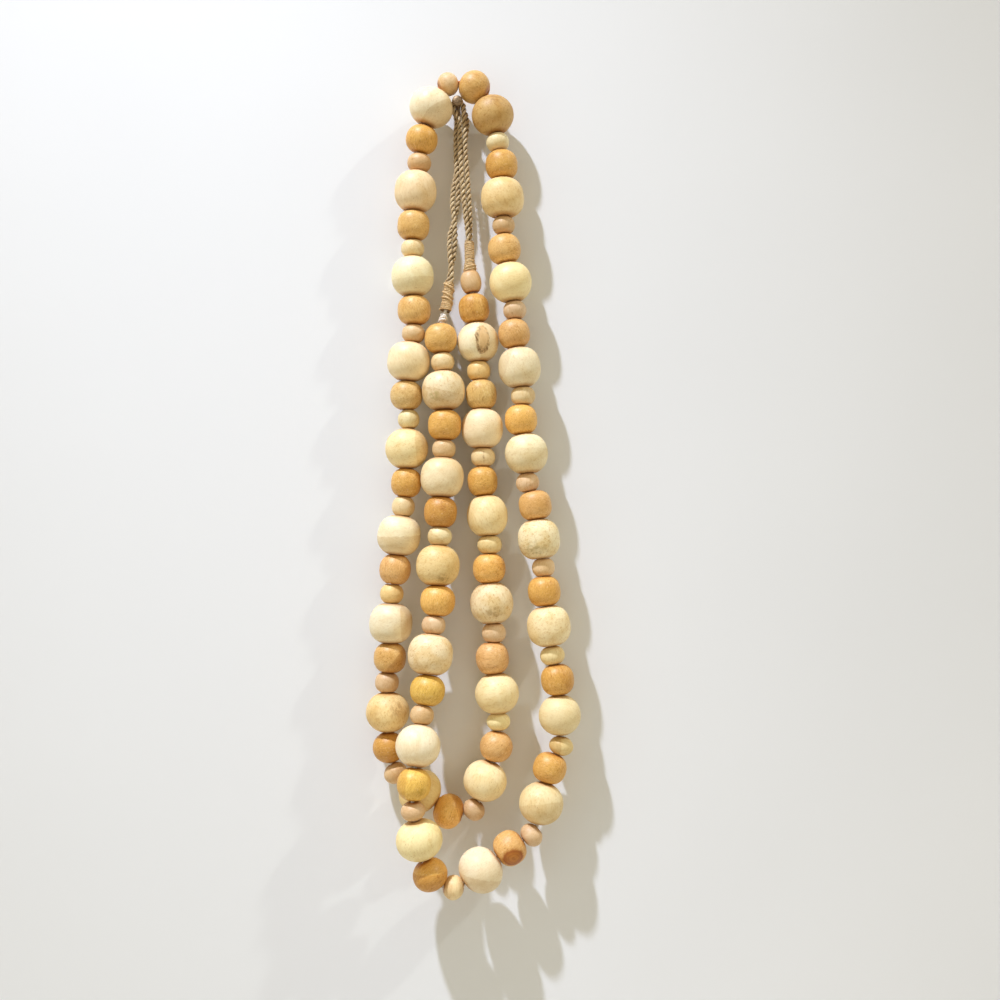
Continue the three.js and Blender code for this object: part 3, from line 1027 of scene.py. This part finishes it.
def make_knot():
    """Two turns and a crossing turn tied round the string, with a cut end."""
    knot = Neck(KNOT)
    wound = []
    for share in shares(60):
        angle = TURN * 2.4 * share
        drop = knot.length * (0.24 + 0.5 * share) + 0.35 * math.sin(angle + 1)
        wound.append(knot.beside(drop, angle, 1.38 + 0.08 * math.sin(3 * angle)))
    crossing = []
    for share in shares(24):
        crossing.append(knot.beside(knot.length * (0.26 + 0.5 * share), -0.9 - TURN * 0.62 * share, 1.72))
    cut_end = [crossing[-1] + (knot.side * 0.5 + knot.down * 0.4) * 0.35 * i for i in range(1, 5)]
    mesh = tubes("tied_knot", [wound, [*crossing, *cut_end]], 0.78, sides=8)
    finish_piece(mesh, string_finish("knotted string", 17, 0.6), "string", "string_knot")


# ---- The jute loops

def leg(rows, side, into):
    """One leg of a loop from the nail down, to the left, -1, or the right, 1, and on into the whipping."""
    line = []
    for x, y, z, half, turn in rows:
        angle = math.radians(turn)
        line.append(Vector((x + side * half * math.cos(angle), y + side * half * math.sin(angle), z)))
    line.append(into + (line[-1] - into) * 0.2)
    return line


def loop_course(rows, into):
    """Up one leg, over the nail and down the other."""
    _, depth, _, radius, _ = rows[0]
    arch = []
    for share in shares(8)[1:-1]:
        angle = math.pi * (1 - share)
        arch.append(Vector((radius * math.cos(angle), depth, radius * math.sin(angle))))
    return Course(through([*reversed(leg(rows, -1, into)), *arch, *leg(rows, 1, into)], 12))


def laid_rope(course, start, seed):
    """The middles of the rope's plies, laid with a right-handed twist that is a little uneven."""
    points = course.even(0.62)
    spacing = course.length / (len(points) - 1)
    lines = [[] for _ in range(ROPE["plies"])]
    angle = start
    for i, (point, across, second) in enumerate(turning_frames(points)):
        for ply, line in enumerate(lines):
            turn = angle + TURN * ply / len(lines)
            reach = ROPE["offset"] * (1 + 0.4 * noise.noise(Vector((i * 0.13, seed + ply * 9, 4))))
            line.append(point + (across * math.cos(turn) + second * math.sin(turn)) * reach)
        angle += TURN * spacing / ROPE["lay"] * (1 + 0.25 * noise.noise(Vector((i * 0.09, seed, 0))))
    return lines


def mark_grooves(mesh, axis, crest, bottom):
    """Tells the finish how far down between the yarns each place is, for the painted shade there, from its
    distance
    to the axis: 0 at the distance of the crest and 1 at that of the bottom."""
    tree = KDTree(len(axis))
    for i, point in enumerate(axis):
        tree.insert(point * MM, i)
    tree.balance()
    depths = [((crest - tree.find(vert.co)[2] / MM) / (crest - bottom),) for vert in mesh.vertices]
    write_attribute(mesh, "groove", depths)


def loose_fibres(name, lines, count, shortest, longest, chance):
    """Fine ends of fibre that stand off the yarns."""
    hairs = []
    for _ in range(count):
        line = chance.choice(lines)
        i = chance.randrange(2, len(line) - 3)
        along = (line[i + 1] - line[i - 1]).normalized()
        across = along.orthogonal().normalized()
        across.rotate(Matrix.Rotation(chance.uniform(0, TURN), 3, along))
        length = chance.uniform(shortest, longest)
        lean = along * chance.uniform(-0.9, 0.9)
        droop = Vector((chance.uniform(-0.3, 0.3), 0, -0.35))
        start = line[i] + across * 0.55
        hairs.append([
            start + (across + lean) * length * t + (lean + droop) * length * t * t * 0.8 for t in shares(4)
        ])
    return tubes(name, hairs, 0.045, sides=4, taper=0.7)


def make_loop(letter, finish_of_fibres, chance):
    """One hanging loop, whose ends run a little way into the whipping, and its loose fibres."""
    neck = Neck(WHIPPINGS[letter])
    course = loop_course(LOOPS[letter], neck.top.lerp(neck.bottom, 0.16))
    lines = laid_rope(course, 0.6 if letter == "a" else 2.1, ord(letter))
    mesh = tubes(f"jute_rope_{letter}", lines, ROPE["radius"], sides=12)
    mark_grooves(mesh, course.even(0.3), 1.5, 0.8)
    pale, dark = (228, 208, 166), (168, 138, 96)
    finish = jute_finish(f"jute loop {letter}", course.length * 1.15, ROPE["radius"], pale, dark, -0.35)
    rope = finish_piece(mesh, finish, "jute", f"jute_loop_{letter}")
    hairs = loose_fibres(f"rope_fibres_{letter}", lines, 240, 0.4, 1.9, chance)
    fibres = finish_piece(hairs, finish_of_fibres, "jute", f"jute_loop_{letter}")
    course.points[0] * MM
    [point * MM for point in course.even(2)]


# ---- The whippings

def whipping_reach(whipping, share):
    """How far the twine's middle is from the neck's, from the top, 0, to the bottom, 1."""
    neck, flare = whipping["neck"] - WHIPPING_TWINE / 2, whipping["flare"] - WHIPPING_TWINE / 2
    if share < 0.1:
        return neck * (0.86 + 1.4 * share)
    if share < 0.68:
        return neck
    return neck + (flare - neck) * math.sin((share - 0.68) / 0.32 * math.pi / 2)


def wound_line(whipping, start, end, turns, extra, seed, tilt=0.12, first=0.0):
    """Twine wound round the neck from one share of its length to another, so far outside the close turns."""
    neck = Neck(whipping)
    margin = 0.65
    line = []
    for t in shares(max(24, int(abs(turns) * 22))):
        share = start + (end - start) * t
        angle = first + TURN * turns * t
        uneven = noise.noise(Vector((angle * 0.35, seed, 1.7)))
        reach = whipping_reach(whipping, share) + extra + 0.1 * noise.noise(Vector((angle * 0.9, seed, 6.1)))
        drop = margin + (neck.length - 2 * margin) * share + uneven * 0.34
        line.append(neck.beside(drop + tilt * reach * math.cos(angle + seed), angle, reach))
    return line


def mark_wound_grooves(mesh, whipping):
    """As mark_grooves, for the painted shade between turns of twine wound about the line from the neck's top to
    its bottom.
    """
    neck = Neck(whipping)
    depths = []
    for vert in mesh.vertices:
        place = vert.co / MM - neck.top
        drop = min(neck.length, max(0, place.dot(neck.down)))
        surface = whipping_reach(whipping, drop / neck.length) + WHIPPING_TWINE / 2
        depths.append(((surface - (place - neck.down * drop).length) / (WHIPPING_TWINE / 2),))
    write_attribute(mesh, "groove", depths)


def whipping_core(whipping):
    """The bound neck under the twine."""
    neck = Neck(whipping)
    length = neck.length
    section = [(0, 0.25), (1.9, 0.3), (2.25, 0.9)]
    for share in (0.15, 0.4, 0.65, 0.8, 0.9):
        section.append((whipping_reach(whipping, share) - 0.12, length * share))
    section += [(whipping_reach(whipping, 0.96) - 0.3, length - 0.5), (2, length - 0.9), (0, length - 1)]
    bm = turned(section, 20)
    stand(bm, along_line(neck.top, neck.down))
    return bm


def make_whipping(letter, finish_of_fibres, chance):
    """Close turns of twine over the neck, a few loose ones over those, and loose fibres."""
    whipping = WHIPPINGS[letter]
    lines = [wound_line(whipping, 0, 1, 17.5, 0, 3.3 if letter == "a" else 8.9)]
    if letter == "a":
        lines.append(wound_line(whipping, 0.8, 0.96, 1.6, 0.4, 5.1, tilt=0.3, first=1.2))
    else:
        lines.append(wound_line(whipping, 0.12, 0.6, -1.7, 0.75, 2.2, tilt=0.2, first=0.4))
        lines.append(wound_line(whipping, 0.4, 0.98, -1.4, 0.7, 4.4, tilt=0.25, first=2.9))
    twine = tubes(f"twine_{letter}", lines, WHIPPING_TWINE / 2, sides=10)
    bm = whipping_core(whipping)
    bm.from_mesh(twine)
    bpy.data.meshes.remove(twine)
    mesh = mesh_of(bm, f"twine_whipping_{letter}")
    mark_wound_grooves(mesh, whipping)
    length = Course(lines[0]).length
    pale, dark = (240, 212, 160), (192, 154, 104)
    finish = jute_finish(f"whipping twine {letter}", length, WHIPPING_TWINE / 2, pale, dark, 1.2)
    finish_piece(mesh, finish, "jute", f"whipping_{letter}")
    hairs = loose_fibres(f"whipping_fibres_{letter}", lines[:1], 90, 0.5, 2.4, chance)
    finish_piece(hairs, finish_of_fibres, "jute", f"whipping_{letter}")


# ---- The nail

def make_nail():
    head, front, back = NAIL["head"] / 2, NAIL["front"], NAIL["back"]
    shank, end, tip = NAIL["shank"] / 2, NAIL["shank_end"], NAIL["tip"]
    section = [(0, front), (head * 0.35, front + 0.05), (head * 0.62, front + 0.19)]
    section += [(head * 0.82, front + 0.42), (head * 0.95, front + 0.72), (head, front + 0.98)]
    section += [(head - 0.03, back - 0.08), (head - 0.15, back), (shank + 0.5, back + 0.02)]
    section += [(shank + 0.12, back + 0.12), (shank, back + 0.4), (shank, back + 6), (shank, 0)]
    section += [(shank, end - 1), (shank * 0.97, end), (shank * 0.5, (end + tip) / 2), (0, tip)]
    bm = turned(section, 32)
    stand(bm, Matrix.Rotation(-math.pi / 2, 4, "X"))
    finish_piece(mesh_of(bm, "round_headed_nail"), steel_finish(), "steel", "nail")


# ---- Wall, floor and light

def plain_sheet(name, width, height, place, turn, material):
    """A flat sheet of this size, turned up from level by so many degrees."""
    bm = bmesh.new()
    bmesh.ops.create_grid(bm, x_segments=1, y_segments=1, size=0.5)
    bmesh.ops.scale(bm, vec=(width, height, 1), verts=bm.verts)
    matrix = Matrix.Translation(place) @ Matrix.Rotation(math.radians(turn), 4, "X")
    bmesh.ops.transform(bm, matrix=matrix, verts=bm.verts)
    mesh = mesh_of(bm, name)
    mesh.materials.append(material)
    sheet = bpy.data.objects.new(name, mesh)
    scene.collection.objects.link(sheet)


def wall_finish():
    """Pale matt paint, which is open to the view from behind."""
    f = Finish("wall paint")
    place = f.object_place()
    roller = f.cloud(place, scale=260, detail=3)
    unevenness = f.rise(f.cloud(place, scale=3, detail=2), 0.35, 0.65)
    base = f.blend(unevenness, (237, 238, 238), (234, 235, 235))
    paint = f.node("ShaderNodeBsdfPrincipled", sockets={
        "Base Color": base,
        "Roughness": 0.8,
        "Specular IOR Level": 0.2,
        "Normal": f.bump(roller, 0.00005, 0.3),
    })
    behind = f.node("ShaderNodeNewGeometry", out="Backfacing")
    clear = f.node("ShaderNodeBsdfTransparent")
    both = f.node("ShaderNodeMixShader", sockets={0: behind, 1: paint, 2: clear})
    f.node("ShaderNodeOutputMaterial", sockets={0: both})
    return f.material


def floor_finish():
    f = Finish("pale floor")
    grain = f.cloud(f.object_place(), scale=6, detail=3)
    base = f.blend(f.rise(grain, 0.35, 0.65), (226, 224, 219), (219, 217, 211))
    return f.surface({"Base Color": base, "Roughness": 0.7})


def soft_light(name, place, aim, size, power, tint, spread=180):
    """A round lamp at a place, turned to its aim. Its spread is in degrees."""
    light = bpy.data.objects.new(name, bpy.data.lights.new(name, "AREA"))
    light.data.shape = "DISK"
    light.data.size = size
    light.data.energy = power
    light.data.color = tint
    light.data.spread = math.radians(spread)
    light.visible_camera = False
    light.location = place
    light.rotation_euler = (Vector(aim) - Vector(place)).to_track_quat("-Z", "Y").to_euler()
    scene.collection.objects.link(light)


def make_stage():
    plain_sheet("wall", 6, 4, (0, 0.0004, 0.7), 90, wall_finish())
    plain_sheet("floor", 6, 6, (0, 0, -1.3), 0, floor_finish())
    soft_light(
        "key light",
        (-0.5, -0.66, 1.11),
        (0.12, 0, -0.8),
        size=0.06,
        power=3.75,
        tint=(0.77, 0.83, 1),
        spread=62,
    )
    soft_light("second light", (4.4, -2.2, 4.4), (0, -0.02, -0.23), size=0.25, power=85, tint=(0.95, 1, 0.95))
    soft_light("low fill", (0.1, -0.85, -1.1), (0, 0, -0.5), size=0.9, power=1.1, tint=(1, 0.93, 0.87))
    soft_light("left fill", (-1.1, -0.75, -0.6), (0, 0, -0.25), size=0.8, power=1.6, tint=(0.9, 0.97, 1))
    world = bpy.data.worlds.new("studio")
    world.use_nodes = True
    background = world.node_tree.nodes["Background"]
    background.inputs["Color"].default_value = (1, 0.9, 0.7, 1)
    background.inputs["Strength"].default_value = 0.495
    scene.world = world


# ---- The hung garland

place_camera()
even_beads = thread_beads()
check_against_frame(even_beads)
beads = seat_beads(even_beads)
make_string(beads)
fibre_chance = random.Random(12)
fibre_material = fibre_finish()
for letter in LOOPS:
    make_loop(letter, fibre_material, fibre_chance)
for letter in WHIPPINGS:
    make_whipping(letter, fibre_material, fibre_chance)
make_knot()
make_beads(beads)
make_nail()
make_stage()
